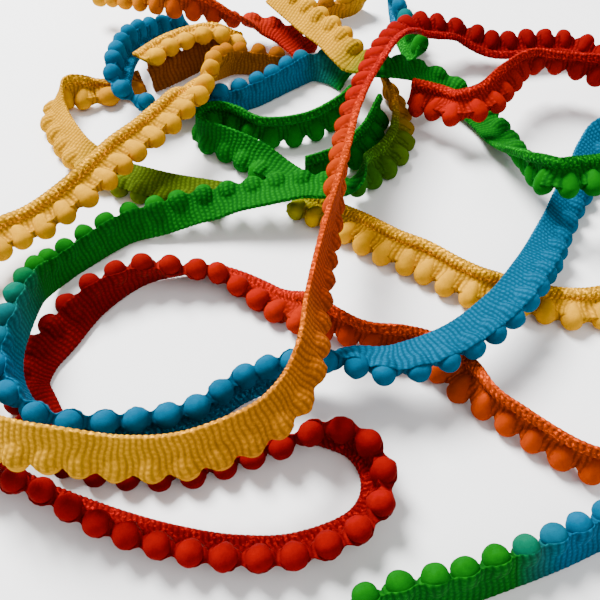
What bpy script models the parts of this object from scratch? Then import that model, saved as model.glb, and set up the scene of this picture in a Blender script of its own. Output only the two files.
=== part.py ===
"""A loose tangle of narrow pompom trim, lying on a table. Metres, +Z up.

The trim is a ribbed knitted band with a plain selvedge along one edge and a row
of round felt pompoms along the other. Each pompom sits on one face of the band:
the ribs of the other face run over its back, so that edge is scalloped.

A long length of it was dropped in loops. Each run below follows the middle line
of the band. Where runs cross, the upper one is lifted clear of the lower one,
and everywhere else the trim rests on the table. A run is built as stretches,
parted between two pompoms, so that no solid bends far round a gap. The origin
is on the table, under the middle of the tangle.
"""
from collections import namedtuple
from math import cos, radians, sin

import bmesh
import bpy
import numpy as np

# ---- driving sizes, in millimetres -----------------------------------------
MM = 0.001
HALF_WIDTH = 5.2            # middle line to the selvedge's edge
THICKNESS = 1.2             # of the knitted band
BALL_RADIUS = 2.6           # of a pompom; they stand about 7.4 apart
BALL_ACROSS = 2.7           # pompom centre, across the band from the middle line
BALL_PROUD = 1.0            # pompom centre, out from the band's middle plane
BAND_EDGE = 1.8             # middle line to the band's edge between two pompoms
LOBE_SCALE = 1.07           # a facetted pompom's corners stand this far out
BALL_FLAT = 2.7             # length of a facetted pompom between its corners
GAP = 0.4                   # between one stretch and the next
REST_SNAP = 0.4             # corners this close to the table are set on it
SPLINE_STEPS = 16           # samples between two points of a run
MIDDLE = (13.15, 31)       # the tangle's middle, in the runs' own plan

# ---- colours of the dyed yarn ----------------------------------------------
COLOURS = {
    "yellow": (0.92, 0.55, 0.02), "gold": (0.60, 0.27, 0.01),
    "orange": (0.85, 0.19, 0.01), "scarlet": (0.75, 0.05, 0.01),
    "red": (0.52, 0.01, 0.01), "lime": (0.42, 0.46, 0.02),
    "olive": (0.14, 0.19, 0.01), "green": (0.01, 0.22, 0.02),
    "teal": (0.01, 0.20, 0.20), "cyan": (0.01, 0.32, 0.56),
}
ROUGHNESS = 0.9

# ---- the runs ---------------------------------------------------------------
# A point of the band's middle line: x and y in plan, how far the trim's lowest
# point is above the table there, and how the band leans. At lean 0 the pompom
# edge lies out to the left of travel, at 90 it stands straight up, at -90 it
# hangs straight down, and at 180 it lies out to the right.
Point = namedtuple("Point", "x_mm y_mm lift_mm lean_deg")
# ribs is +1 where the ribbed face is on the side of travel x (pompom edge), and
# -1 where the pompoms are. stretches lists (colour, pompoms) in order.
Run = namedtuple("Run", "name ribs stretches points")

RUNS = [
    # Down to the left, round outside, along the front, up over everything else,
    # then out to the right and back.
    Run("over", -1, [
        ("gold", 4), ("yellow", 7), ("yellow", 7), ("yellow", 6), ("yellow", 5),
        ("yellow", 6), ("gold", 4), ("orange", 5), ("scarlet", 6), ("red", 5),
        ("red", 8), ("red", 5), ("scarlet", 8)], [
        (-5, 93, 0, 95), (-12, 95.5, 0, 92), (-20.5, 95, 1, 88), (-25.5, 84, 6, 75),
        (-28, 73, 11, 35), (-31.5, 61.5, 14, -10), (-36.5, 53, 13, -25),
        (-41.5, 46, 12, -30), (-47.5, 39.5, 11, -32), (-53.5, 29.5, 10, -35),
        (-61, 23, 7, -35), (-68.5, 19, 4, -35), (-74, 15, 4, -38), (-79, 9, 4, -55),
        (-81, 1, 4, -80), (-77, -18, 4, -100), (-68.5, -38, 8, -115),
        (-60.5, -48, 12, -125), (-53.5, -51.5, 14, -125), (-44.5, -53, 14, -120),
        (-33.5, -53.5, 12, -118), (-22, -53.5, 13, -118), (-13, -51.5, 15, -120),
        (-5.5, -47.5, 16, -122), (0, -40, 16, -125), (2.5, -33, 18, -122),
        (3.5, -22.5, 18, -116), (5.4, -9, 18, -108), (8, 7, 17, -98),
        (10.5, 25, 17, -78), (14.5, 48, 16, -68), (20.8, 67.5, 17, -55),
        (28.5, 86, 16, -38), (38, 100, 13, 8), (50, 104.5, 8.5, -3),
        (63, 101.5, 5.5, 8), (77.5, 103.5, 5, 8), (89.5, 104, 3.8, 5),
        (99, 95.5, 4, 0), (103.6, 84, 6, -30), (94.5, 75, 9, -75), (85, 79.5, 9, -112),
        (77, 82.5, 9, -125), (69, 82, 9, -110), (60.5, 73, 9, -70), (53, 64, 9, -50),
        (44.5, 62, 8, -45), (39.5, 67.5, 5.5, -60), (32.5, 71, 5, -70)]),
    # Round the left of the tangle, across the middle to the right, out and
    # back, and away at the top.
    Run("middle", -1, [
        ("lime", 4), ("green", 4), ("green", 9), ("teal", 4), ("cyan", 6),
        ("cyan", 8), ("cyan", 4), ("cyan", 7), ("cyan", 6), ("teal", 4),
        ("green", 4), ("green", 7), ("green", 6), ("yellow", 6)], [
        (26, 85, 0, -70), (28, 78, 0, -72), (29.5, 68, 0, -68), (28.5, 57, 0, -60),
        (25, 49.5, 0, -58), (20, 44, 0, -64), (15.5, 37, 2, -100), (11, 31, 6, -165),
        (0, 30.5, 7.5, -182), (-9, 29.5, 6.5, -186), (-18.5, 28.5, 5.5, -195),
        (-27.5, 26.5, 4, -212), (-36.5, 24, 1.5, -228), (-44.5, 22, 0, -240),
        (-50, 17.5, 0, -245), (-60.3, 5.8, 0, -258), (-62, -3.3, 5, -258),
        (-62.2, -15.7, 8, -258), (-62.2, -24.2, 8.5, -255), (-60.5, -31.2, 8.3, -252),
        (-55.5, -38, 7.5, -250), (-50, -40.3, 6, -248), (-37, -40.1, 2.6, -268),
        (-22, -35.5, 0, -280), (-13, -28.5, 0, -287), (-6.5, -26, 1, -284),
        (0, -25.5, 4.5, -256), (5.5, -26, 7, -238), (11.5, -25.5, 8.2, -212),
        (21.5, -26.8, 8.7, -192), (34.5, -21.7, 8.7, -186), (47.5, -10.6, 8.3, -182),
        (54, -2, 7, -176), (61, 9.5, 3, -170), (67.5, 21.5, 0, -150),
        (72, 30, 0, -152), (78, 40, 0, -155), (83.5, 51, 0, -155), (89, 58, 1, -148),
        (97, 57, 3, -125), (100, 48.5, 6, -95), (95.5, 38, 10, -68),
        (87.5, 31.5, 12, -48), (79.5, 29, 12.5, -42), (70, 27, 12.5, -50),
        (64.5, 26.5, 12, -75), (62, 32, 9, -110), (60.5, 44, 4.5, -150),
        (59, 56.5, 1, -178), (56.5, 67, 0, -188), (52, 74.5, 1, -190),
        (45.5, 81, 3.5, -190), (37.5, 82, 7, -190), (29.5, 80, 10.5, -188),
        (23, 79.5, 11.5, -188), (17.5, 83.5, 11, -198), (13.5, 87.5, 12, -212),
        (9.5, 95, 12, -215), (4, 102.5, 12, -217), (-2, 111.5, 12, -220),
        (-8, 121, 12, -220)]),
    # In from the right, round the left, and back round the loop in front.
    Run("front", -1, [
        ("orange", 5), ("scarlet", 5), ("scarlet", 4), ("red", 5), ("red", 5),
        ("red", 6), ("red", 3), ("red", 3), ("red", 6), ("red", 4)], [
        (63, -48.6, 0, -92), (55.9, -45.4, 0, -92), (46.6, -37.8, 0, -92),
        (41.1, -32.5, 0, -90), (36.8, -26.7, 0, -53), (31.9, -19.9, 0, -26),
        (23.3, -17.3, 0, -61), (16.4, -15.1, 0, -97), (9.5, -11.7, 0, -93),
        (2.9, -8.4, 0, -55), (-4.8, -3.3, 0, -3), (-11.6, 1.3, 0, 15),
        (-17.2, 4.6, 0, 29), (-22.1, 6.3, 0, 37), (-27.4, 5.3, 0, 47),
        (-39.2, 4.1, 0, 81), (-50, -3.5, 0, 119), (-56.6, -13.3, 0, 147),
        (-60.3, -19.6, 0, 155), (-61.3, -26, 0, 159), (-58.3, -31.9, 0, 163),
        (-52.5, -40.5, 0, 165), (-46.5, -44.5, 0, 166), (-31, -47, 0, 167),
        (-22, -46, 0, 164), (-14.1, -43.8, 0, 154), (-1.6, -41.3, 0, 121),
        (5.1, -40.5, 0, 87), (11.5, -42.2, 0, 69), (15.2, -47.2, 0, 59),
        (15.7, -53.7, 0, 47), (12, -59.6, 0, 39), (-0.4, -65, 0, 32),
        (-12.5, -65.5, 0, 31), (-25.1, -63.5, 0, 31), (-38.8, -59.2, 0, 39),
        (-53.3, -52.7, 0, 57), (-64.7, -48.5, 0, 25)]),
    Run("slant", 1, [("lime", 3), ("yellow", 5), ("yellow", 4)], [
        (-2.5, 33, 0, -175), (2.5, 30.5, 0, -168), (8.5, 27, 0, -168),
        (14, 22, 0, -152), (23.5, 13.9, 0, -132), (30.5, 9.9, 0, -130),
        (38, 3.9, 0, -130), (44, 0.4, 0, -135), (50.5, -0.6, 0, -160),
        (62, -4.2, 0, -162), (67.5, -5.9, 0, -140), (74.5, -5, 0, -125)]),
    Run("left", -1, [("gold", 2), ("yellow", 3), ("yellow", 4), ("olive", 4)], [
        (-49.5, 87.5, 0, -20), (-55, 85, 0, -12), (-61, 82.5, 0, -20),
        (-65.5, 80.5, 0, -45), (-70.5, 80, 0, -80), (-73.5, 77, 0, -115),
        (-74, 69, 0, -142), (-66, 54, 0, -146), (-61.5, 48.5, 0, -150),
        (-54.5, 43.5, 0, -168), (-42.5, 37.5, 0, -160), (-35, 35.5, 0, -165),
        (-21.5, 33.5, 0, -175)]),
    Run("left_inner", -1, [("gold", 4)], [
        (-25.5, 105.5, 0, 112), (-31, 101.5, 0, 112), (-36, 97, 0, 112),
        (-42.5, 91, 0, 112), (-47, 87.5, 0, 112)]),
    Run("left_upper", 1, [("yellow", 5)], [
        (-47.5, 85, 10.8, -178), (-40.5, 94, 10.8, -178), (-33.5, 99, 10.8, -178),
        (-26.5, 102.5, 9.5, -176), (-21.5, 104, 6, -174), (-18.5, 105, 4, -172)]),
    Run("back_left", 1, [("yellow", 4), ("orange", 7)], [
        (-71, 130.5, 6, -105), (-58.5, 123, 9, -103), (-49.5, 118.5, 10, -100),
        (-41, 115.5, 10, -95), (-33, 114.5, 8.5, -80), (-21.5, 113, 6, -35),
        (-12.5, 114, 4, 3), (-5, 112, 2, 8), (3.5, 104, 0, 10)]),
    Run("back_loop", 1, [("cyan", 5), ("cyan", 6), ("cyan", 8)], [
        (-39.5, 123.5, 0, 150), (-44.5, 118, 0, 150), (-50, 110.5, 2, 138),
        (-53.5, 102, 4.5, 130), (-55, 92.5, 6.5, 132), (-55, 82.5, 8, 132),
        (-54.5, 76, 8, 132), (-52, 70.5, 7, 132), (-47, 68, 4.5, 135),
        (-41.5, 70, 1.5, 145), (-35, 73, 0, 150), (-29, 73.5, 0, 130),
        (-21, 75.5, 0, 95), (-14, 79, 0, 85), (-8, 84, 0, 82), (-2, 89.5, 0, 75),
        (4, 94.5, 0, 60), (10.5, 93.5, 0, 45), (15.5, 90, 0, 30)]),
    Run("hairpin", -1, [("green", 7), ("green", 5)], [
        (15, 75.5, 0, -95), (12, 71, 0, -95), (1.5, 62, 0, -95), (-11, 60, 0, -95),
        (-18.5, 65, 0, -92), (-24, 67, 0, -90), (-28.5, 65.5, 0, -90),
        (-30, 61, 0, -95), (-27.5, 57, 0, -105), (-22.5, 54, 0, -115),
        (-15.5, 49.5, 0, -130), (-6.5, 43, 0, -170), (-3, 39.5, 0, -170)]),
    Run("inner", -1, [("green", 5)], [
        (24, 71, 0, -85), (18.5, 56, 0, -78), (9.5, 46, 0, -85), (1.5, 42, 0, -90)]),
    Run("back_middle", 1, [("gold", 3)], [
        (5.5, 125, 0, 110), (19.5, 131, 0, 110), (23.5, 136, 0, 110)]),
    Run("back_right", -1, [("cyan", 3), ("green", 3)], [
        (32.5, 142.7, 0, 94), (33.5, 128.5, 0, 75), (35, 118, 0, 60),
        (37.5, 108.5, 0, 45), (38.5, 101, 0, 40)]),
    Run("corner", 1, [("green", 4), ("teal", 3)], [
        (9.5, -78.3, 0, 68), (18.5, -74.8, 0, 68), (27, -73.3, 0, 68),
        (35.5, -70.5, 0, 68), (50.5, -65, 0, 68), (62, -59.8, 0, 68)]),
]


# ---- the line a run follows -------------------------------------------------
def curve_through(points):
    """A smooth curve through the points (centripetal, so it does not overshoot)."""
    rows = np.array(points, float)
    rows = np.vstack([2 * rows[0] - rows[1], rows, 2 * rows[-1] - rows[-2]])
    samples = []
    for i in range(1, len(rows) - 2):
        p0, p1, p2, p3 = rows[i - 1:i + 3]
        t0 = 0.0
        t1 = t0 + np.linalg.norm((p1 - p0)[:2]) ** 0.5
        t2 = t1 + np.linalg.norm((p2 - p1)[:2]) ** 0.5
        t3 = t2 + np.linalg.norm((p3 - p2)[:2]) ** 0.5
        for t in np.linspace(t1, t2, SPLINE_STEPS, endpoint=False):
            a1 = ((t1 - t) * p0 + (t - t0) * p1) / (t1 - t0)
            a2 = ((t2 - t) * p1 + (t - t1) * p2) / (t2 - t1)
            a3 = ((t3 - t) * p2 + (t - t2) * p3) / (t3 - t2)
            b1 = ((t2 - t) * a1 + (t - t0) * a2) / (t2 - t0)
            b2 = ((t3 - t) * a2 + (t - t1) * a3) / (t3 - t1)
            samples.append(((t2 - t) * b1 + (t - t1) * b2) / (t2 - t1))
    samples.append(rows[-2])
    return np.array(samples)


def reach_below(lean, ribs):
    """How far the trim reaches below its middle line at this lean."""
    up, level = np.sin(lean), np.cos(lean)
    selvedge = HALF_WIDTH * up + THICKNESS / 2 * np.abs(level)
    pompom = BALL_RADIUS - BALL_ACROSS * up + ribs * BALL_PROUD * level
    return np.maximum(selvedge, pompom)


class Line:
    """A run's middle line: where it is, and which way the band faces, by length."""

    def __init__(self, run):
        x, y, lift, lean = curve_through(run.points).T
        lean = np.radians(lean)
        place = np.column_stack([x - MIDDLE[0], y - MIDDLE[1],
                                 lift + reach_below(lean, run.ribs)])
        steps = np.linalg.norm(np.diff(place, axis=0), axis=1)
        self.along = np.concatenate([[0.0], np.cumsum(steps)])
        travel = np.gradient(place, self.along, axis=0)
        travel /= np.linalg.norm(travel, axis=1)[:, None]
        left = np.column_stack([-travel[:, 1], travel[:, 0], 0 * travel[:, 0]])
        left /= np.linalg.norm(left, axis=1)[:, None]
        up = np.cross(travel, left)
        across = np.cos(lean)[:, None] * left + np.sin(lean)[:, None] * up
        self.columns = np.hstack([place, across, -run.ribs * np.cross(travel, across)])
        self.length = self.along[-1]

    def at(self, s):
        """Place, direction across to the pompoms, and direction out of their face."""
        row = [np.interp(s, self.along, column) for column in self.columns.T]
        return np.array(row[:3]), np.array(row[3:6]), np.array(row[6:])


# ---- the trim's cross-sections ----------------------------------------------
def neck_section():
    """The band between two pompoms, as (across, out): seven corners."""
    half = THICKNESS / 2
    return [(-HALF_WIDTH, -half), (BAND_EDGE - 0.8, -half),
            (BAND_EDGE - 0.15, -half * 0.6), (BAND_EDGE, half * 0.3),
            (BAND_EDGE - 0.5, half), (BAND_EDGE - 1.6, half), (-HALF_WIDTH, half)]


def pompom_section():
    """The band and a facetted pompom: the same seven corners, spread round it."""
    half = THICKNESS / 2
    lobe = [(BALL_ACROSS + BALL_RADIUS * LOBE_SCALE * cos(radians(turn)),
             BALL_PROUD + BALL_RADIUS * LOBE_SCALE * sin(radians(turn)))
            for turn in (-105, -35, 28, 92)]
    return [(-HALF_WIDTH, -half)] + lobe + [(BALL_ACROSS - BALL_RADIUS, half),
                                            (-HALF_WIDTH, half)]


def stations(line, pitch, first, last):
    """(length along, section) from one neck to another, past whole pompoms."""
    neck, pompom = neck_section(), pompom_section()
    rows = [(first * pitch + GAP / 2, neck)]
    for number in range(first, last):
        middle = (number + 0.5) * pitch
        rows += [(middle - BALL_FLAT / 2, pompom), (middle + BALL_FLAT / 2, pompom)]
        if number < last - 1:
            rows.append(((number + 1) * pitch, neck))
    rows.append((last * pitch - GAP / 2, neck))
    return rows


# ---- making the objects -----------------------------------------------------
def yarn_material(name):
    material = bpy.data.materials.get(name)
    if material is None:
        material = bpy.data.materials.new(name)
        material.use_nodes = True
        shader = material.node_tree.nodes["Principled BSDF"]
        colour = COLOURS[name.rsplit("_", 1)[-1]]
        shader.inputs["Base Color"].default_value = (*colour, 1.0)
        shader.inputs["Roughness"].default_value = ROUGHNESS
        material.diffuse_color = (*colour, 1.0)
    return material


def loft_stretch(name, line, pitch, first, last, colour, collection):
    """One closed solid of the trim, from neck to neck."""
    mesh = bpy.data.meshes.new(name)
    bm = bmesh.new()
    rings = []
    for s, section in stations(line, pitch, first, last):
        place, across, out = line.at(s)
        ring = []
        for a, b in section:
            corner = place + a * across + b * out
            if corner[2] < REST_SNAP:
                corner[2] = 0.0
            ring.append(bm.verts.new(corner * MM))
        rings.append(ring)
    count = len(rings[0])
    for near, far in zip(rings, rings[1:]):
        for i in range(count):
            j = (i + 1) % count
            bm.faces.new((near[i], near[j], far[j], far[i]))
    bm.faces.new(rings[0][::-1])
    bm.faces.new(rings[-1])
    bmesh.ops.recalc_face_normals(bm, faces=bm.faces)
    bm.to_mesh(mesh)
    bm.free()
    mesh.materials.append(yarn_material(name))
    trim = bpy.data.objects.new(name, mesh)
    collection.objects.link(trim)
    return trim


def build():
    for thing in list(bpy.data.objects):
        bpy.data.objects.remove(thing, do_unlink=True)
    collection = bpy.data.collections.new("pompom_trim")
    bpy.context.scene.collection.children.link(collection)
    for run in RUNS:
        line = Line(run)
        total = sum(pompoms for _, pompoms in run.stretches)
        pitch = line.length / total
        first = 0
        for order, (colour, pompoms) in enumerate(run.stretches, 1):
            name = f"{run.name}_{order:02d}_{colour}"
            loft_stretch(name, line, pitch, first, first + pompoms, colour, collection)
            first += pompoms


build()
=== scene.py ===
"""Looks for the loose pompom trim: a space-dyed knitted band with felt pompoms.

The runs follow the same lines as the CAD solids that they stand for, and their
pompoms are finer and closer together, as on real trim. Lengths are in millimetres
until the meshes are made.
"""
from collections import namedtuple
from itertools import groupby
from math import radians

import bmesh
import bpy
import numpy as np
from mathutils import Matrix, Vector


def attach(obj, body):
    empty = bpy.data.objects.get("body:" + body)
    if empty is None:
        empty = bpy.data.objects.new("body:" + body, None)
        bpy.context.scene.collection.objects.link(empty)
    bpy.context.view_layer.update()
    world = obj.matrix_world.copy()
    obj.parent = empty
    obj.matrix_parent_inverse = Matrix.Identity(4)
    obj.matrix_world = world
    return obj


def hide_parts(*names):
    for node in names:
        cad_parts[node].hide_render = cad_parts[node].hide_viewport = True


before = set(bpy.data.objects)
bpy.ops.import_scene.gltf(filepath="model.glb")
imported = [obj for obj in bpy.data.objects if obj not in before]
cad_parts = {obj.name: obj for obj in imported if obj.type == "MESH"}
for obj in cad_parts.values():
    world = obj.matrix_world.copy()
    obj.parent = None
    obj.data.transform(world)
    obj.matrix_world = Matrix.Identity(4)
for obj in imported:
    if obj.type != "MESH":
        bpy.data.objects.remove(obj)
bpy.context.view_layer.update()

MM = 0.001

# ---- the CAD's sizes, which set how a run lies --------------------------------
HALF_WIDTH = 5.2            # middle line to the selvedge's edge
THICKNESS = 1.2             # of the band
BALL_RADIUS = 2.6           # of a pompom
BALL_ACROSS = 2.7           # pompom centre, across the band from the middle line
BALL_PROUD = 1.0            # pompom centre, out from the band's middle plane
MIDDLE = (13.15, 31)        # of the tangle in plan, which becomes the origin
SPLINE_STEPS = 40           # samples between two points of a run

# ---- the felt pompoms ---------------------------------------------------------
POMPOM_PITCH = 6.35         # judged; the CAD has fewer, farther apart
FELT_FILL = 0.425           # half a pompom along the band, as a part of the pitch
FELT_ACROSS = 2.75          # from its centre to its tip
FELT_OUT = 2.65             # from its centre to its front
ROOT_LENGTH = 4.3           # from its centre to its root, at the selvedge's strip
ROOT_DROP = 0.9             # how far the root sinks towards the band
ROOT_TAPER = 0.12           # how much narrower the root is
UNDER_KNIT = 0.06           # a covered pompom keeps this far inside the knit
UNDER_EDGE = 0.15           # and comes out of it this far before the knit's edge
BALL_CUTS = 6               # across each side of the cube that becomes a ball
# what chance does to each pompom
FELT_SIZES = (0.96, 1.03)
FELT_SHADES = (0.92, 1.08)
SHIFT_ALONG = (-0.15, 0.15)
SHIFT_ACROSS = (-0.1, 0.15)
SHIFT_OUT = (-0.1, 0.1)
DENTS = 5                   # waves that dent it
DENT_DEPTH = 0.014          # of one wave, as a part of the radius
DENT_WAVES = (2.5, 7)       # radians of a wave from the centre to the surface
DENT_PHASES = (0, 6)

# ---- the knitted band ---------------------------------------------------------
NECK_EDGE = 3.1             # middle line to the knit's edge between two pompoms
LOBE_REACH = 0.6            # how much farther the knit runs over a pompom's back
COVER = 0.3                 # thickness of the knit over a pompom's back
BACK_ROOT = 3.7             # from a pompom's centre to its root, behind the band
ROOT_COVER = 0.25           # thickness of the knit over a pompom's root
ROOT_SPREAD = 1.36          # how wide the knit over a root is, against the pompom
EASE = 0.06                 # square of the length over which a rise is eased in
EASE_SINK = 0.01            # about what the easing adds where nothing rises
RIBS_PER_POMPOM = 5
RINGS_PER_RIB = 4
RIB_FACE_POINTS = 24        # across the ribbed face
RIB_CREST = 0.06            # how far the ribs stand above the band's face
RIB_GROOVE = 0.15           # how far the grooves between them lie below it
ROOT_GROOVE = 0.20          # the same over a pompom's root
RIB_POWER = 0.6             # of the ribs' wave: below 1 the grooves are narrow
RIB_CHANCE = 0.4            # part of a rib's height that chance sets
FAN = 0.42                  # how much the ribs spread over a pompom
FAN_FROM = -1.5             # where across the band they start to spread
FAN_WITHIN = 4.0            # and how far on they have spread
SWAY = 0.14                 # how much a rib wanders, in ribs
SWAY_ACROSS = 1.1           # radians of wandering per millimetre across
SWAY_ALONG = 0.37           # and per rib along
STITCH = 1.1                # from one stitch to the next along a rib
STITCH_RELIEF = 0.45        # part of a rib's height that its stitches set
STITCH_STAGGER = 0.5        # shift from one rib to the next, in stitches
STITCH_CHANCE = 0.3         # and what chance adds to the shift
# the pompoms' face from the free edge to the selvedge: across, out
POMPOM_FACE = np.array([
    (2.2, 0.45), (1.8, 0.45), (1.35, 0.45), (0.85, 0.45), (0.3, 0.45), (-0.25, 0.44),
    (-0.8, 0.42), (-1.3, 0.38), (-1.8, 0.26), (-2.2, 0.34), (-2.5, 0.72),
    (-2.85, 1.04), (-3.2, 1.22), (-3.6, 1.30), (-4.0, 1.26), (-4.4, 1.10),
    (-4.75, 0.86), (-5.05, 0.62)])
HEM = 2.2                   # where the knit over the roots begins
HEM_WIDTH = 0.9             # its ribs are as deep as the others from here on
STRIP_FROM = -2.0           # where the roots end and the selvedge's strip begins
STRIP_SLANT = 0.25          # how far a row of its stitches slants, in ribs a mm
STRIP_STITCH = 0.9          # from one of its stitches to the next
STRIP_RELIEF = 0.55         # part of its height that the stitches set
STRIP_GROOVE = 0.30         # how deep the dips between its stitches are
# the free edge turns in against the pompom: across from the edge, out from the ribs
LIP = np.array([(0.10, 0.14), (0.0, 0.34), (-0.4, 0.5)])
# round the selvedge: across from its edge, out
SIDE = np.array([(-0.06, 0.42), (-0.08, 0.05), (0.02, -0.36)])
SIDE_INSET = 0.15           # the ribbed face starts this far inside the edge
SIDE_NOTCH = 0.16           # how deep the grooves cut into the edge

# ---- the dyes, as linear base colours, and a brown that is painted shade -----
DYES = {
    # brown is no dye of its own: it is yellow darkened as painted shade, for yellow faces
    # turned away from the light
    "painted_shade_brown": (0.17, 0.042, 0.0005), "gold": (0.31, 0.110, 0.0005),
    "yellow": (0.50, 0.235, 0.0005), "amber": (0.40, 0.135, 0.0005),
    "orange": (0.31, 0.032, 0.0003), "scarlet": (0.235, 0.004, 0.0003),
    "red": (0.17, 0.0005, 0.0006), "deep_red": (0.11, 0.0005, 0.0004),
    "lime": (0.13, 0.190, 0.0010), "olive": (0.05, 0.085, 0.0010),
    "green": (0.001, 0.095, 0.0040), "cyan": (0.0005, 0.077, 0.1500),
}

# ---- the runs, as in the CAD ---------------------------------------------------
# A point of the band's middle line: x and y in plan, how far the trim's lowest
# point is above the table there, and how the band leans. At lean 0 the pompom
# edge lies out to the left of travel, at 90 it stands straight up, at -90 it
# hangs straight down, and at 180 it lies out to the right.
Point = namedtuple("Point", "x_mm y_mm lift_mm lean_deg")
# the colour at a place along the run, counted in the CAD's pompoms
Dye = namedtuple("Dye", "pompom colour")
# ribs is +1 where the ribbed face is on the side of travel x (pompom edge), and
# -1 where the pompoms are. stretches lists the CAD's (colour, pompoms) in order.
Run = namedtuple("Run", "name ribs stretches dyes points")

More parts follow.
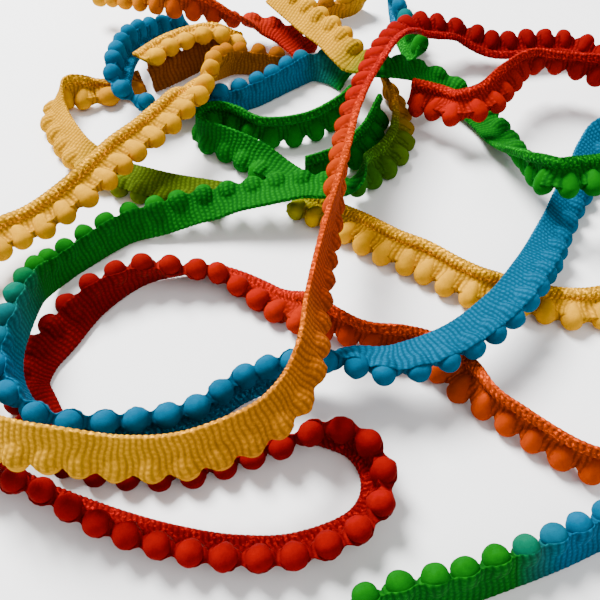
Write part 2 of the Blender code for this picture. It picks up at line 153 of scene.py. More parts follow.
RUNS = [
    # Down to the left, round outside, along the front, up over everything else,
    # then out to the right and back.
    Run(name="over", ribs=-1,
        stretches=[
            ("gold", 4), ("yellow", 7), ("yellow", 7), ("yellow", 6), ("yellow", 5),
            ("yellow", 6), ("gold", 4), ("orange", 5), ("scarlet", 6), ("red", 5), ("red", 8),
            ("red", 5), ("scarlet", 8)],
        dyes=[
            (0, "painted_shade_brown"), (4, "gold"), (6, "yellow"), (29, "yellow"), (33, "amber"),
            (37, "orange"), (42, "orange"), (47, "scarlet"), (52, "red"), (56, "deep_red"),
            (65, "red"), (71, "scarlet"), (76, "scarlet")],
        points=[
            (-5, 93, 0, 95), (-12, 95.5, 0, 92), (-20.5, 95, 1, 88), (-25.5, 84, 6, 75),
            (-28, 73, 11, 35), (-31.5, 61.5, 14, -10), (-36.5, 53, 13, -25),
            (-41.5, 46, 12, -30), (-47.5, 39.5, 11, -32), (-53.5, 29.5, 10, -35),
            (-61, 23, 7, -35), (-68.5, 19, 4, -35), (-74, 15, 4, -38), (-79, 9, 4, -55),
            (-81, 1, 4, -80), (-77, -18, 4, -100), (-68.5, -38, 8, -115),
            (-60.5, -48, 12, -125), (-53.5, -51.5, 14, -125), (-44.5, -53, 14, -120),
            (-33.5, -53.5, 12, -118), (-22, -53.5, 13, -118), (-13, -51.5, 15, -120),
            (-5.5, -47.5, 16, -122), (0, -40, 16, -125), (2.5, -33, 18, -122),
            (3.5, -22.5, 18, -116), (5.4, -9, 18, -108), (8, 7, 17, -98), (10.5, 25, 17, -78),
            (14.5, 48, 16, -68), (20.8, 67.5, 17, -55), (28.5, 86, 16, -38), (38, 100, 13, 8),
            (50, 104.5, 8.5, -3), (63, 101.5, 5.5, 8), (77.5, 103.5, 5, 8), (89.5, 104, 3.8, 5),
            (99, 95.5, 4, 0), (103.6, 84, 6, -30), (94.5, 75, 9, -75), (85, 79.5, 9, -112),
            (77, 82.5, 9, -125), (69, 82, 9, -110), (60.5, 73, 9, -70), (53, 64, 9, -50),
            (44.5, 62, 8, -45), (39.5, 67.5, 5.5, -60), (32.5, 71, 5, -70)]),
    # Round the left of the tangle, across the middle to the right, out and
    # back, and away at the top.
    Run(name="middle", ribs=-1,
        stretches=[
            ("lime", 4), ("green", 4), ("green", 9), ("teal", 4), ("cyan", 6), ("cyan", 8),
            ("cyan", 4), ("cyan", 7), ("cyan", 6), ("teal", 4), ("green", 4), ("green", 7),
            ("green", 6), ("yellow", 6)],
        dyes=[
            (0, "gold"), (2, "gold"), (3.5, "olive"), (8, "green"), (20, "green"), (24, "cyan"),
            (52, "cyan"), (57, "green"), (72, "green"), (74, "yellow")],
        points=[
            (26, 85, 0, -70), (28, 78, 0, -72), (29.5, 68, 0, -68), (28.5, 57, 0, -60),
            (25, 49.5, 0, -58), (20, 44, 0, -64), (15.5, 37, 2, -100), (11, 31, 6, -165),
            (0, 30.5, 7.5, -182), (-9, 29.5, 6.5, -186), (-18.5, 28.5, 5.5, -195),
            (-27.5, 26.5, 4, -212), (-36.5, 24, 1.5, -228), (-44.5, 22, 0, -240),
            (-50, 17.5, 0, -245), (-60.3, 5.8, 0, -258), (-62, -3.3, 5, -258),
            (-62.2, -15.7, 8, -258), (-62.2, -24.2, 8.5, -255), (-60.5, -31.2, 8.3, -252),
            (-55.5, -38, 7.5, -250), (-50, -40.3, 6, -248), (-37, -40.1, 2.6, -268),
            (-22, -35.5, 0, -280), (-13, -28.5, 0, -287), (-6.5, -26, 1, -284),
            (0, -25.5, 4.5, -256), (5.5, -26, 7, -238), (11.5, -25.5, 8.2, -212),
            (21.5, -26.8, 8.7, -192), (34.5, -21.7, 8.7, -186), (47.5, -10.6, 8.3, -182),
            (54, -2, 7, -176), (61, 9.5, 3, -170), (67.5, 21.5, 0, -150), (72, 30, 0, -152),
            (78, 40, 0, -155), (83.5, 51, 0, -155), (89, 58, 1, -148), (97, 57, 3, -125),
            (100, 48.5, 6, -95), (95.5, 38, 10, -68), (87.5, 31.5, 12, -48),
            (79.5, 29, 12.5, -42), (70, 27, 12.5, -50), (64.5, 26.5, 12, -75),
            (62, 32, 9, -110), (60.5, 44, 4.5, -150), (59, 56.5, 1, -178), (56.5, 67, 0, -188),
            (52, 74.5, 1, -190), (45.5, 81, 3.5, -190), (37.5, 82, 7, -190),
            (29.5, 80, 10.5, -188), (23, 79.5, 11.5, -188), (17.5, 83.5, 11, -198),
            (13.5, 87.5, 12, -212), (9.5, 95, 12, -215), (4, 102.5, 12, -217),
            (-2, 111.5, 12, -220), (-8, 121, 12, -220)]),
    # In from the right, round the left, and back round the loop in front.
    Run(name="front", ribs=-1,
        stretches=[
            ("orange", 5), ("scarlet", 5), ("scarlet", 4), ("red", 5), ("red", 5), ("red", 6),
            ("red", 3), ("red", 3), ("red", 6), ("red", 4)],
        dyes=[
            (0, "orange"), (5, "orange"), (12, "scarlet"), (18, "deep_red"), (26, "deep_red"),
            (34, "red")],
        points=[
            (63, -48.6, 0, -92), (55.9, -45.4, 0, -92), (46.6, -37.8, 0, -92),
            (41.1, -32.5, 0, -90), (36.8, -26.7, 0, -53), (31.9, -19.9, 0, -26),
            (23.3, -17.3, 0, -61), (16.4, -15.1, 0, -97), (9.5, -11.7, 0, -93),
            (2.9, -8.4, 0, -55), (-4.8, -3.3, 0, -3), (-11.6, 1.3, 0, 15), (-17.2, 4.6, 0, 29),
            (-22.1, 6.3, 0, 37), (-27.4, 5.3, 0, 47), (-39.2, 4.1, 0, 81), (-50, -3.5, 0, 119),
            (-56.6, -13.3, 0, 147), (-60.3, -19.6, 0, 155), (-61.3, -26, 0, 159),
            (-58.3, -31.9, 0, 163), (-52.5, -40.5, 0, 165), (-46.5, -44.5, 0, 166),
            (-31, -47, 0, 167), (-22, -46, 0, 164), (-14.1, -43.8, 0, 154),
            (-1.6, -41.3, 0, 121), (5.1, -40.5, 0, 87), (11.5, -42.2, 0, 69),
            (15.2, -47.2, 0, 59), (15.7, -53.7, 0, 47), (12, -59.6, 0, 39), (-0.4, -65, 0, 32),
            (-12.5, -65.5, 0, 31), (-25.1, -63.5, 0, 31), (-38.8, -59.2, 0, 39),
            (-53.3, -52.7, 0, 57), (-64.7, -48.5, 0, 25)]),
    Run(name="slant", ribs=1,
        stretches=[("lime", 3), ("yellow", 5), ("yellow", 4)],
        dyes=[(0, "lime"), (2, "yellow"), (12, "yellow")],
        points=[
            (-2.5, 33, 0, -175), (2.5, 30.5, 0, -168), (8.5, 27, 0, -168), (14, 22, 0, -152),
            (23.5, 13.9, 0, -132), (30.5, 9.9, 0, -130), (38, 3.9, 0, -130), (44, 0.4, 0, -135),
            (50.5, -0.6, 0, -160), (62, -4.2, 0, -162), (67.5, -5.9, 0, -140),
            (74.5, -5, 0, -125)]),
    Run(name="left", ribs=-1,
        stretches=[("gold", 2), ("yellow", 3), ("yellow", 4), ("olive", 4)],
        dyes=[(0, "painted_shade_brown"), (3, "yellow"), (7, "yellow"), (9.5, "olive"), (13, "olive")],
        points=[
            (-49.5, 87.5, 0, -20), (-55, 85, 0, -12), (-61, 82.5, 0, -20),
            (-65.5, 80.5, 0, -45), (-70.5, 80, 0, -80), (-73.5, 77, 0, -115),
            (-74, 69, 0, -142), (-66, 54, 0, -146), (-61.5, 48.5, 0, -150),
            (-54.5, 43.5, 0, -168), (-42.5, 37.5, 0, -160), (-35, 35.5, 0, -165),
            (-21.5, 33.5, 0, -175)]),
    Run(name="left_inner", ribs=-1,
        stretches=[("gold", 4)],
        # brown all along: painted shade on a gold inner face
        dyes=[(0, "painted_shade_brown"), (4, "painted_shade_brown")],
        points=[
            (-25.5, 105.5, 0, 112), (-31, 101.5, 0, 112), (-36, 97, 0, 112),
            (-42.5, 91, 0, 112), (-47, 87.5, 0, 112)]),
    Run(name="left_upper", ribs=1,
        stretches=[("yellow", 5)],
        dyes=[(0, "yellow"), (5, "yellow")],
        points=[
            (-47.5, 85, 10.8, -178), (-40.5, 94, 10.8, -178), (-33.5, 99, 10.8, -178),
            (-26.5, 102.5, 9.5, -176), (-21.5, 104, 6, -174), (-18.5, 105, 4, -172)]),
    Run(name="back_left", ribs=1,
        stretches=[("yellow", 4), ("orange", 7)],
        dyes=[(0, "yellow"), (2, "amber"), (5, "orange"), (9, "scarlet")],
        points=[
            (-71, 130.5, 6, -105), (-58.5, 123, 9, -103), (-49.5, 118.5, 10, -100),
            (-41, 115.5, 10, -95), (-33, 114.5, 8.5, -80), (-21.5, 113, 6, -35),
            (-12.5, 114, 4, 3), (-5, 112, 2, 8), (3.5, 104, 0, 10)]),
    Run(name="back_loop", ribs=1,
        stretches=[("cyan", 5), ("cyan", 6), ("cyan", 8)],
        dyes=[(0, "cyan"), (16.5, "cyan"), (19, "green")],
        points=[
            (-39.5, 123.5, 0, 150), (-44.5, 118, 0, 150), (-50, 110.5, 2, 138),
            (-53.5, 102, 4.5, 130), (-55, 92.5, 6.5, 132), (-55, 82.5, 8, 132),
            (-54.5, 76, 8, 132), (-52, 70.5, 7, 132), (-47, 68, 4.5, 135),
            (-41.5, 70, 1.5, 145), (-35, 73, 0, 150), (-29, 73.5, 0, 130), (-21, 75.5, 0, 95),
            (-14, 79, 0, 85), (-8, 84, 0, 82), (-2, 89.5, 0, 75), (4, 94.5, 0, 60),
            (10.5, 93.5, 0, 45), (15.5, 90, 0, 30)]),
    Run(name="hairpin", ribs=-1,
        stretches=[("green", 7), ("green", 5)],
        dyes=[(0, "green"), (12, "green")],
        points=[
            (15, 75.5, 0, -95), (12, 71, 0, -95), (1.5, 62, 0, -95), (-11, 60, 0, -95),
            (-18.5, 65, 0, -92), (-24, 67, 0, -90), (-28.5, 65.5, 0, -90), (-30, 61, 0, -95),
            (-27.5, 57, 0, -105), (-22.5, 54, 0, -115), (-15.5, 49.5, 0, -130),
            (-6.5, 43, 0, -170), (-3, 39.5, 0, -170)]),
    Run(name="inner", ribs=-1,
        stretches=[("green", 5)],
        dyes=[(0, "green"), (5, "green")],
        points=[(24, 71, 0, -85), (18.5, 56, 0, -78), (9.5, 46, 0, -85), (1.5, 42, 0, -90)]),
    Run(name="back_middle", ribs=1,
        stretches=[("gold", 3)],
        dyes=[(0, "painted_shade_brown"), (3, "yellow")],
        points=[(5.5, 125, 0, 110), (19.5, 131, 0, 110), (23.5, 136, 0, 110)]),
    Run(name="back_right", ribs=-1,
        stretches=[("cyan", 3), ("green", 3)],
        dyes=[(0, "cyan"), (3, "cyan"), (4.2, "green"), (6, "green")],
        points=[
            (32.5, 142.7, 0, 94), (33.5, 128.5, 0, 75), (35, 118, 0, 60), (37.5, 108.5, 0, 45),
            (38.5, 101, 0, 40)]),
    Run(name="corner", ribs=1,
        stretches=[("green", 4), ("teal", 3)],
        dyes=[(0, "green"), (4, "green"), (5.3, "cyan"), (7, "cyan")],
        points=[
            (9.5, -78.3, 0, 68), (18.5, -74.8, 0, 68), (27, -73.3, 0, 68), (35.5, -70.5, 0, 68),
            (50.5, -65, 0, 68), (62, -59.8, 0, 68)]),
]


# ---- the line a run follows --------------------------------------------------
def curve_through(points):
    """A smooth curve through the points (centripetal, so it does not overshoot)."""
    rows = np.array(points, float)
    rows = np.vstack([2 * rows[0] - rows[1], rows, 2 * rows[-1] - rows[-2]])
    samples = []
    for i in range(1, len(rows) - 2):
        p0, p1, p2, p3 = rows[i - 1:i + 3]
        t0 = 0.0
        t1 = t0 + np.linalg.norm((p1 - p0)[:2]) ** 0.5
        t2 = t1 + np.linalg.norm((p2 - p1)[:2]) ** 0.5
        t3 = t2 + np.linalg.norm((p3 - p2)[:2]) ** 0.5
        for t in np.linspace(t1, t2, SPLINE_STEPS, endpoint=False):
            a1 = ((t1 - t) * p0 + (t - t0) * p1) / (t1 - t0)
            a2 = ((t2 - t) * p1 + (t - t1) * p2) / (t2 - t1)
            a3 = ((t3 - t) * p2 + (t - t2) * p3) / (t3 - t2)
            b1 = ((t2 - t) * a1 + (t - t0) * a2) / (t2 - t0)
            b2 = ((t3 - t) * a2 + (t - t1) * a3) / (t3 - t1)
            samples.append(((t2 - t) * b1 + (t - t1) * b2) / (t2 - t1))
    samples.append(rows[-2])
    return np.array(samples)


def reach_below(lean, ribs):
    """How far the trim reaches below its middle line at this lean."""
    up, level = np.sin(lean), np.cos(lean)
    selvedge = HALF_WIDTH * up + THICKNESS / 2 * np.abs(level)
    pompom = BALL_RADIUS - BALL_ACROSS * up + ribs * BALL_PROUD * level
    return np.maximum(selvedge, pompom)


class Line:
    """A run's middle line: where it is, and which way the band faces, by length."""

    def __init__(self, run):
        curve = Point(*curve_through(run.points).T)
        lean = np.radians(curve.lean_deg)
        place = np.column_stack([curve.x_mm - MIDDLE[0], curve.y_mm - MIDDLE[1],
                                 curve.lift_mm + reach_below(lean, run.ribs)])
        steps = np.linalg.norm(np.diff(place, axis=0), axis=1)
        self.along = np.concatenate([[0.0], np.cumsum(steps)])
        travel = np.gradient(place, self.along, axis=0)
        travel /= np.linalg.norm(travel, axis=1)[:, None]
        left = np.column_stack([-travel[:, 1], travel[:, 0], 0 * travel[:, 0]])
        left /= np.linalg.norm(left, axis=1)[:, None]
        up = np.cross(travel, left)
        across = np.cos(lean)[:, None] * left + np.sin(lean)[:, None] * up
        self.columns = np.hstack([place, across, -run.ribs * np.cross(travel, across)])
        self.length = self.along[-1]

    def at(self, s):
        """Place, direction across to the pompoms, and direction out of their face."""
        rows = np.column_stack([np.interp(s, self.along, c) for c in self.columns.T])
        return rows[:, :3], rows[:, 3:6], rows[:, 6:]


def dye_at(run, pompom):
    """The yarn's colour at these places, counted in the CAD's pompoms."""
    stops = [Dye(*d) for d in run.dyes]
    where = [d.pompom for d in stops]
    colours = np.array([DYES[d.colour] for d in stops])
    return np.column_stack([np.interp(pompom, where, c) for c in colours.T])


# ---- meshes: d is along from a pompom's centre, a across, b out ----------------
def make_piece(name, corners, faces, material, attributes):
    """A mesh object from corners in mm, with smooth faces and point attributes."""
    mesh = bpy.data.meshes.new(name)
    mesh.from_pydata((corners * MM).tolist(), [], faces)
    for label, kind, key, values in attributes:
        layer = mesh.attributes.new(label, kind, "POINT")
        layer.data.foreach_set(key, np.ascontiguousarray(values, np.float32).ravel())
    mesh.materials.append(material)
    mesh.shade_smooth()
    mesh.update()
    piece = bpy.data.objects.new(name, mesh)
    bpy.context.scene.collection.objects.link(piece)
    return piece


def uneven(number):
    """A fixed chance value from 0 to 1 for each whole number."""
    return np.modf(np.abs(np.sin(number * 12.9898)) * 43758.5453)[0]


def rib_wave(turns):
    """0 in a groove and 1 along a rib, with narrow grooves."""
    return (0.5 - 0.5 * np.cos(2 * np.pi * turns)) ** RIB_POWER


def stitch_wave(turns, a, pitch):
    """1 on a stitch and 0 between two of them, staggered from rib to rib."""
    rib = np.floor(turns)
    shift = STITCH_STAGGER * rib + STITCH_CHANCE * uneven(rib)
    return 0.5 + 0.5 * np.cos(2 * np.pi * (a / pitch + shift))


def fanned(turn, a):
    """The ribs, which spread out over each pompom and wander a little."""
    spread = FAN * np.clip((a - FAN_FROM) / FAN_WITHIN, 0, 1)
    spread = spread * RIBS_PER_POMPOM / (4 * np.pi)
    rib = turn + spread * np.sin(2 * np.pi * turn / RIBS_PER_POMPOM)
    return rib + SWAY * np.sin(SWAY_ACROSS * a + SWAY_ALONG * turn)


def rib_relief(rib, a):
    """0 to 1: how high the knit stands along its uneven ribs and stitches."""
    stitches = 1 - STITCH_RELIEF + STITCH_RELIEF * stitch_wave(rib, a, STITCH)
    chance = 1 - RIB_CHANCE + RIB_CHANCE * uneven(np.floor(rib))
    return rib_wave(rib) * stitches * chance


def lobe_edge(d, felt_along):
    """The free edge of the knit, at this distance along from a pompom's centre."""
    return NECK_EDGE + LOBE_REACH * np.sqrt(np.clip(1 - (d / felt_along) ** 2, 0, 1))


def eased(height):
    """The part of a height that is above nothing, eased in."""
    return 0.5 * (height + np.sqrt(height ** 2 + EASE)) - EASE_SINK


def back_lift(a, d, felt_along):
    """How far a pompom pushes the knit out behind the band."""
    reach = np.where(a > BALL_ACROSS, FELT_ACROSS, BACK_ROOT) + COVER
    ball = 1 - ((a - BALL_ACROSS) / reach) ** 2 - (d / (felt_along + COVER)) ** 2
    back = (FELT_OUT + COVER) * np.sqrt(np.clip(ball, 0, None))
    return eased(back - BALL_PROUD - THICKNESS / 2)


def root_lift(a, d, felt_along):
    """How far the root of a pompom pushes the knit out on the pompoms' face."""
    inward = (BALL_ACROSS - a) / ROOT_LENGTH
    ball = 1 - inward ** 2 - (d / (felt_along * ROOT_SPREAD)) ** 2
    root = (FELT_OUT + ROOT_COVER) * np.sqrt(np.clip(ball, 0, None)) + BALL_PROUD
    return eased(root - ROOT_DROP * np.clip(inward, 0, 1) - THICKNESS)


def ribbed_face(d, turn, felt_along):
    """(across, out, rib) of the ribbed face, from the selvedge over the pompoms."""
    start = HALF_WIDTH - SIDE_INSET
    t = np.linspace(0, 1, RIB_FACE_POINTS)[None, :]
    a = (lobe_edge(d, felt_along) + start) * t - start
    rib = fanned(turn, a)
    relief = RIB_GROOVE - (RIB_GROOVE + RIB_CREST) * rib_relief(rib, a)
    return a, relief - THICKNESS / 2 - back_lift(a, d, felt_along), rib


def pompom_face(d, turn, felt_along):
    """(across, out, rib, strip) of the pompoms' face, from the hem to the selvedge.

    The knit over the roots comes first, then a dip and the selvedge's own strip.
    """
    a = POMPOM_FACE[None, :, 0] + 0 * d
    strip = a <= STRIP_FROM
    rib = np.where(strip, turn + STRIP_SLANT * a, fanned(turn, a))
    hem = np.clip((HEM - a) / HEM_WIDTH, 0, 1)
    groove = ROOT_GROOVE * hem * (1 - rib_relief(rib, a))
    root = root_lift(a, d, felt_along) - groove
    stitches = 1 - STRIP_RELIEF + STRIP_RELIEF * stitch_wave(rib, a, STRIP_STITCH)
    dip = STRIP_GROOVE * (rib_wave(rib) * stitches - 1)
    return a, POMPOM_FACE[None, :, 1] + np.where(strip, dip, root), rib, 1.0 * strip


def band_rings(d, turn, felt_along):
    """(across, out, rib, strip) of each corner of each ring of the band.

    d is a ring's distance along from its pompom's centre, turn its place in ribs,
    and strip is 1 on the selvedge and 0 elsewhere. Rings are rows.
    """
    a_rib, b_rib, rib = ribbed_face(d, turn, felt_along)
    a_lip = a_rib[:, -1:] + LIP[None, :, 0]
    b_lip = b_rib[:, -1:] + LIP[None, :, 1]
    a_face, b_face, face_rib, strip = pompom_face(d, turn, felt_along)
    a_side = SIDE[None, :, 0] - HALF_WIDTH + SIDE_NOTCH * (1 - rib_wave(turn))
    b_side = SIDE[None, :, 1] + 0 * d
    a = np.hstack([a_rib, a_lip, a_face, a_side])
    b = np.hstack([b_rib, b_lip, b_face, b_side])
    ribs = np.hstack([rib, rib[:, -1:] + 0 * a_lip, face_rib, turn + 0 * a_side])
    strips = np.hstack([0 * a_rib, 0 * a_lip, strip, 1 + 0 * a_side])
    return a, b, ribs, strips


def tube_faces(rings, count):
    """The faces of a tube of rings, each with this count of corners, with its ends."""
    faces = []
    for i in range(rings - 1):
        for j in range(count):
            k = (j + 1) % count
            faces.append((i * count + j, i * count + k,
                          (i + 1) * count + k, (i + 1) * count + j))
    faces.append(tuple(range(count))[::-1])
    faces.append(tuple(range((rings - 1) * count, rings * count)))
    return faces


def make_band(name, run, line, stretch, material):
    """The knitted band of a stretch of pompoms, as one closed mesh."""
    rings_per_pompom = RIBS_PER_POMPOM * RINGS_PER_RIB
    pompom = np.arange(stretch.pompoms * rings_per_pompom + 1) / rings_per_pompom
    s = stretch.start_mm + pompom * stretch.pitch_mm
    place, across, out = line.at(s)
    d = (pompom % 1.0 - 0.5) * stretch.pitch_mm
    # a whole number of pompoms is added, so that stretches have other chances
    turn = (round(stretch.start_mm) + pompom) * RIBS_PER_POMPOM
    a, b, ribs, strips = band_rings(d[:, None], turn[:, None],
                                    FELT_FILL * stretch.pitch_mm)
    corners = (place[:, None] + a[..., None] * across[:, None]
               + b[..., None] * out[:, None])
    corners[..., 2] = np.maximum(corners[..., 2], 0)
    rings, count = a.shape
    faces = tube_faces(rings, count)
    if run.ribs > 0:
        faces = [f[::-1] for f in faces]
    dye = dye_at(run, np.repeat(s / stretch.cad_pitch_mm, count))
    yarn = np.column_stack([ribs.ravel(), a.ravel(), strips.ravel()])
    return make_piece(name, corners.reshape(-1, 3), faces, material, [
        ("dye", "FLOAT_COLOR", "color", np.column_stack([dye, np.ones(len(dye))])),
        ("yarn", "FLOAT_VECTOR", "vector", yarn)])


def ball_template():
    """A round ball of even faces: (corners on a unit sphere, faces)."""
    bm = bmesh.new()
    bmesh.ops.create_cube(bm, size=2)
    bmesh.ops.subdivide_edges(bm, edges=bm.edges[:], cuts=BALL_CUTS, use_grid_fill=True)
    corners = np.array([v.co for v in bm.verts])
    bent = corners * np.sqrt(np.clip(
        1 - np.roll(corners, 1, 1) ** 2 / 2 - np.roll(corners, 2, 1) ** 2 / 2
        + (np.roll(corners, 1, 1) * np.roll(corners, 2, 1)) ** 2 / 3, 0, None))
    faces = [tuple(v.index for v in f.verts) for f in bm.faces]
    bm.free()
    return bent / np.linalg.norm(bent, axis=1)[:, None], faces


def felt_shape(unit, felt_along, chance):
    """A felt pompom as (along, across, out): round, with a root that narrows."""
    size = np.array([felt_along, FELT_ACROSS, FELT_OUT]) * chance.uniform(*FELT_SIZES, 3)
    dents = 0
    for _ in range(DENTS):
        way = chance.normal(size=3)
        way /= np.linalg.norm(way)
        dents = dents + DENT_DEPTH * np.sin(unit @ way * chance.uniform(*DENT_WAVES)
                                            + chance.uniform(*DENT_PHASES))
    rough = unit * (1 + dents)[:, None]
    root = np.clip(-rough[:, 1], 0, 1)
    d = rough[:, 0] * size[0] * (1 - ROOT_TAPER * root) + chance.uniform(*SHIFT_ALONG)
    a = (BALL_ACROSS + chance.uniform(*SHIFT_ACROSS)
         + rough[:, 1] * np.where(rough[:, 1] > 0, size[1], ROOT_LENGTH))
    b = (BALL_PROUD + chance.uniform(*SHIFT_OUT) - ROOT_DROP * root
         + rough[:, 2] * size[2])
    inside = RIB_GROOVE + UNDER_KNIT - THICKNESS / 2 - back_lift(a, d, felt_along)
    covered = a < lobe_edge(d, felt_along) - UNDER_EDGE
    return d, a, np.where(covered, np.maximum(b, inside), b)


def make_pompoms(name, run, line, stretch, material, chance):
    """The felt pompoms of a stretch, each a little unlike its neighbours."""
    unit, ball_faces = BALL
    corners, faces, dyes = [], [], []
    for number in range(stretch.pompoms):
        s = stretch.start_mm + (number + 0.5) * stretch.pitch_mm
        place, across, out = (v[0] for v in line.at(np.array([s])))
        along = np.cross(across, out) * run.ribs
        d, a, b = felt_shape(unit, FELT_FILL * stretch.pitch_mm, chance)
        spots = place + d[:, None] * along + a[:, None] * across + b[:, None] * out
        spots[:, 2] = np.maximum(spots[:, 2], 0)
        start = len(corners) * len(unit)
        faces += [tuple(start + i for i in f) for f in ball_faces]
        corners.append(spots)
        colour = dye_at(run, np.array([s / stretch.cad_pitch_mm]))[0]
        colour = colour * chance.uniform(*FELT_SHADES)
        dyes.append(np.tile([*colour, 1.0], (len(unit), 1)))
    if run.ribs > 0:
        faces = [f[::-1] for f in faces]
    return make_piece(name, np.vstack(corners), faces, material, [
        ("dye", "FLOAT_COLOR", "color", np.vstack(dyes))])


# ---- materials: noise scales are per metre -----------------------------------
YARN_STITCH = 1.05          # from one shaded stitch to the next, in millimetres
YARN_STAGGER = 2.2          # radians that chance adds to a rib's shift
YARN_WANDER = 4.0           # radians that noise adds along it
GLINT_GAIN = 1.3            # of a painted glint's brightness


class Tree:
    """A short way to write a material's nodes."""

    def __init__(self, name, roughness, specular):
        self.material = bpy.data.materials.new(name)
        self.material.use_nodes = True
        self.tree = self.material.node_tree
        self.shader = self.tree.nodes["Principled BSDF"]
        self.shader.inputs["Roughness"].default_value = roughness
        self.shader.inputs["Specular IOR Level"].default_value = specular

    def node(self, kind, inputs=(), **settings):
        node = self.tree.nodes.new("ShaderNode" + kind)
        for key, value in settings.items():
            setattr(node, key, value)
        for key, value in dict(inputs).items():
            self.feed(node.inputs[key], value)
        return node

    def feed(self, socket, value):
        if isinstance(value, bpy.types.NodeSocket):
            self.tree.links.new(value, socket)
        else:
            socket.default_value = value

    def math(self, operation, a, b=0.0):
        return self.node("Math", {0: a, 1: b}, operation=operation).outputs[0]

    def wave(self, turn, sign):
        """A cosine wave from 0 to 1, which starts at 1 with sign 1 and at 0 with -1."""
        swing = self.math("MULTIPLY", self.math("COSINE", turn), 0.5 * sign)
        return self.math("ADD", 0.5, swing)

    def ramp(self, value, low, high, to_low=0.0, to_high=1.0):
        return self.node("MapRange", {
            "Value": value, "From Min": low, "From Max": high,
            "To Min": to_low, "To Max": to_high}).outputs["Result"]

    def noise(self, vector, scale, detail):
        return self.node("TexNoise", {
            "Vector": vector, "Scale": scale, "Detail": detail}).outputs["Fac"]

    def attribute(self, name, output):
        return self.node("Attribute", attribute_name=name).outputs[output]

    def colour(self, dye, shade):
        """The dye's colour, made lighter or darker by the shade."""
        scaled = self.node("VectorMath", {0: dye, "Scale": shade}, operation="SCALE")
        self.feed(self.shader.inputs["Base Color"], scaled.outputs["Vector"])

    def relief(self, height, strength, distance):
        bump = self.node("Bump", {"Strength": strength, "Distance": distance,
                                  "Height": height})
        self.feed(self.shader.inputs["Normal"], bump.outputs["Normal"])


def knit_material():
    """Dyed yarn in ribs of staggered stitches, with painted shade in the grooves and painted
    glints.
    """
    m = Tree("dyed_knit", roughness=0.85, specular=0.04)
    dye = m.attribute("dye", "Color")
    turns, across, strip = m.node("SeparateXYZ", {0: m.attribute("yarn", "Vector")}).outputs
    here = m.node("TexCoord").outputs["Object"]
    rib = m.wave(m.math("MULTIPLY", turns, 2 * np.pi), -1)
    # the stitches of a rib: beads across the band, unevenly staggered
    number = m.math("FLOOR", turns)
    chance = m.node("TexWhiteNoise", {"W": number}, noise_dimensions="1D").outputs["Value"]
    stagger = m.math("ADD", m.math("MULTIPLY", number, np.pi),
                     m.math("MULTIPLY", chance, YARN_STAGGER))
    wander = m.math("MULTIPLY", m.noise(here, 500.0, 1.0), YARN_WANDER)
    bead = m.math("ADD", m.math("MULTIPLY", across, 2 * np.pi / YARN_STITCH), stagger)
    stitch = m.math("MULTIPLY", rib, m.wave(m.math("ADD", bead, wander), 1))
    fine = m.noise(here, 3200.0, 3.0)
    patch = m.noise(here, 110.0, 2.0)
    # painted shade: darker in the rib grooves and between the stitches, and painted highlight:
    # lighter on the stitch tops; the fine noise and the patches are the yarn's random tone
    shade = m.math("MULTIPLY", m.ramp(rib, 0.0, 0.7, 0.66, 1.0),
                   m.ramp(stitch, 0.0, 1.0, 0.84, 1.12))
    shade = m.math("MULTIPLY", shade, m.ramp(fine, 0.3, 0.7, 0.9, 1.1))
    shade = m.math("MULTIPLY", shade, m.ramp(patch, 0.3, 0.7, 0.84, 1.1))
    # painted glints: specks of highlight in the same dye, most of them on the selvedge
    glint_mask = m.ramp(m.noise(here, 1500.0, 1.0), 0.57, 0.64)
    selvedge = m.ramp(strip, 0.0, 1.0, 0.12, 1.0)
    painted_glints = m.math("MULTIPLY", m.math("MULTIPLY", glint_mask, selvedge), GLINT_GAIN)
    m.colour(dye, m.math("ADD", shade, painted_glints))
    height = m.math("ADD", m.math("MULTIPLY", stitch, 0.7), m.math("MULTIPLY", fine, 0.5))
    m.relief(height, strength=0.7, distance=0.00022)
    return m.material


def felt_material():
    """Dyed felt of matted fibres."""
    m = Tree("dyed_felt", roughness=0.9, specular=0.03)
    dye = m.attribute("dye", "Color")
    here = m.node("TexCoord").outputs["Object"]
    fibres = m.noise(here, 4200.0, 3.0)
    matted = m.noise(here, 700.0, 2.0)
    m.colour(dye, m.math("MULTIPLY", m.ramp(fibres, 0.3, 0.7, 0.93, 1.07),
                         m.ramp(matted, 0.3, 0.7, 0.9, 1.08)))
    height = m.math("ADD", m.math("MULTIPLY", fibres, 0.6), matted)
    m.relief(height, strength=0.4, distance=0.0002)
    return m.material


# ---- the pieces: a band and its pompoms for each colour of a run ---------------
Stretch = namedtuple("Stretch", "start_mm pitch_mm pompoms cad_pitch_mm")
FIRST_SEED = 100
KNIT = knit_material()
FELT = felt_material()
BALL = ball_template()

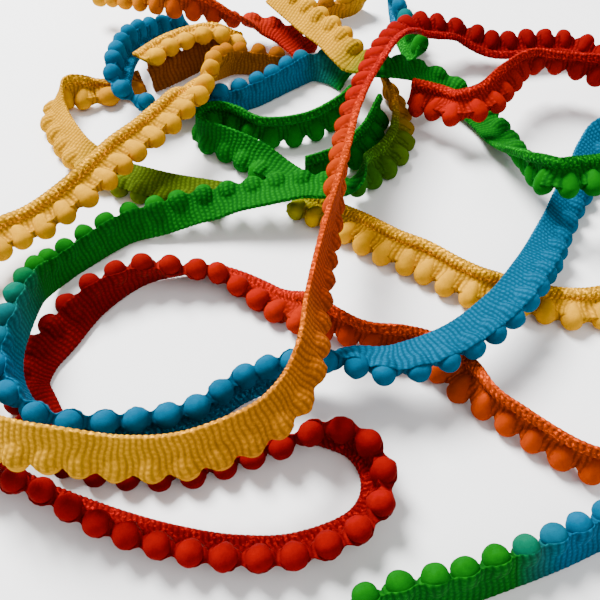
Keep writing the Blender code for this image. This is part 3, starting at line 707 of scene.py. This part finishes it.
for number, run in enumerate(RUNS):
    line = Line(run)
    chance = np.random.default_rng(FIRST_SEED + number)
    cad_pitch = line.length / sum(pompoms for _, pompoms in run.stretches)
    first = 0
    order = 0
    parts = groupby(run.stretches, key=lambda stretch: stretch[0])
    for part, (colour, stretches) in enumerate(parts, 1):
        nodes = []
        last = first
        for _, pompoms in stretches:
            order += 1
            nodes.append(f"{run.name}_{order:02d}_{colour}")
            last += pompoms
        name = f"{run.name}_{part}_{colour}"
        length = (last - first) * cad_pitch
        count = round(length / POMPOM_PITCH)
        stretch = Stretch(first * cad_pitch, length / count, count, cad_pitch)
        band = make_band(name + "_band", run, line, stretch, KNIT)
        balls = make_pompoms(name + "_pompoms", run, line, stretch, FELT, chance)
        for piece in (band, balls):
            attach(piece, "root")
            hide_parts(*nodes)
        first = last

# ---- floor, light and camera ---------------------------------------------------
FLOOR_SIZE = 6              # metres
FLOOR_DROP = 0.0002         # below what rests on it, so that no faces coincide
FLOOR_GREY = 0.93
WORLD_STRENGTH = 0.6
FOCAL_PIXELS = 780          # on a frame of FRAME_PIXELS
FRAME_PIXELS = 600
SENSOR_MM = 36
CAMERA_PLACE = (-0.01315, -0.15506, 0.14785)
CAMERA_TILT = 40            # degrees up from straight down


def soft_light(name, place, size, watts):
    """A square area light aimed at the middle of the trim."""
    data = bpy.data.lights.new(name, "AREA")
    data.size = size
    data.energy = watts
    lamp = bpy.data.objects.new(name, data)
    lamp.location = place
    lamp.rotation_euler = (-Vector(place)).to_track_quat("-Z", "Y").to_euler()
    bpy.context.scene.collection.objects.link(lamp)


bpy.ops.mesh.primitive_plane_add(size=FLOOR_SIZE, location=(0, 0, -FLOOR_DROP))
floor = bpy.context.object
floor.name = "floor"
paint = bpy.data.materials.new("floor_paint")
paint.use_nodes = True
shader = paint.node_tree.nodes["Principled BSDF"]
shader.inputs["Base Color"].default_value = (FLOOR_GREY, FLOOR_GREY, FLOOR_GREY, 1)
shader.inputs["Roughness"].default_value = 0.9
floor.data.materials.append(paint)

soft_light("key", place=(-0.40, 0.45, 0.75), size=0.40, watts=42)
soft_light("fill", place=(0.5, -0.5, 0.9), size=0.9, watts=5)
world = bpy.data.worlds.new("studio")
world.use_nodes = True
sky = world.node_tree.nodes["Background"]
sky.inputs["Color"].default_value = (1, 1, 1, 1)
sky.inputs["Strength"].default_value = WORLD_STRENGTH
bpy.context.scene.world = world

lens = bpy.data.cameras.new("camera")
lens.sensor_width = SENSOR_MM
lens.lens = SENSOR_MM * FOCAL_PIXELS / FRAME_PIXELS
lens.clip_start = 0.005
camera = bpy.data.objects.new("camera", lens)
camera.location = CAMERA_PLACE
camera.rotation_euler = (radians(CAMERA_TILT), 0, 0)
bpy.context.scene.collection.objects.link(camera)
bpy.context.scene.camera = camera
